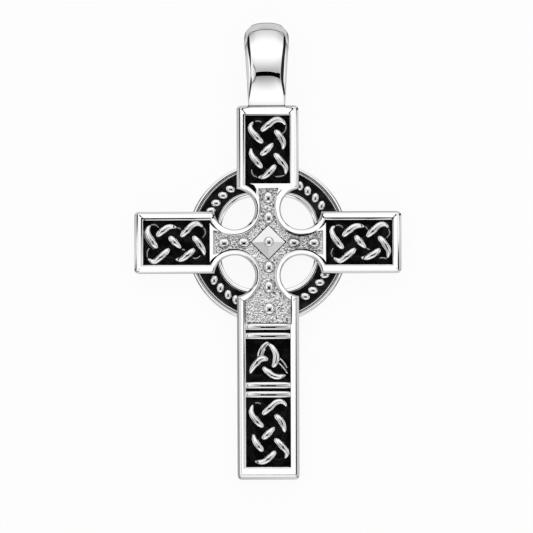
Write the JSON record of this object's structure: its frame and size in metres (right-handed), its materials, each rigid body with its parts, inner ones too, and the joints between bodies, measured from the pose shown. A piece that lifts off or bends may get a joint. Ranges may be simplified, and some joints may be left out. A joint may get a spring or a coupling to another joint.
{
  "type": "celtic cross pendant",
  "caption": "Ringed cross pendant with interlaced relief on black enamel panels, beaded hub and a fixed bail for a chain.",
  "frame": {"origin": "middle of the ring, on the flat back of the plate", "axes": "+X to the right, +Y up the pendant towards the bail, +Z out of the decorated face"},
  "size_m": [0.0294, 0.0503, 0.0052],
  "materials": {
    "silver": "polished",
    "black_enamel": "satin"
  },
  "bodies": {
    "root": {"cross": "silver", "enamel_top": "black_enamel", "enamel_left": "black_enamel", "enamel_right": "black_enamel", "enamel_foot": "black_enamel", "enamel_triquetra": "black_enamel", "enamel_groove_upper": "black_enamel", "enamel_groove_lower": "black_enamel", "enamel_ring_ne": "black_enamel", "enamel_ring_nw": "black_enamel", "enamel_ring_sw": "black_enamel", "enamel_ring_se": "black_enamel"}
  },
  "joints": []
}
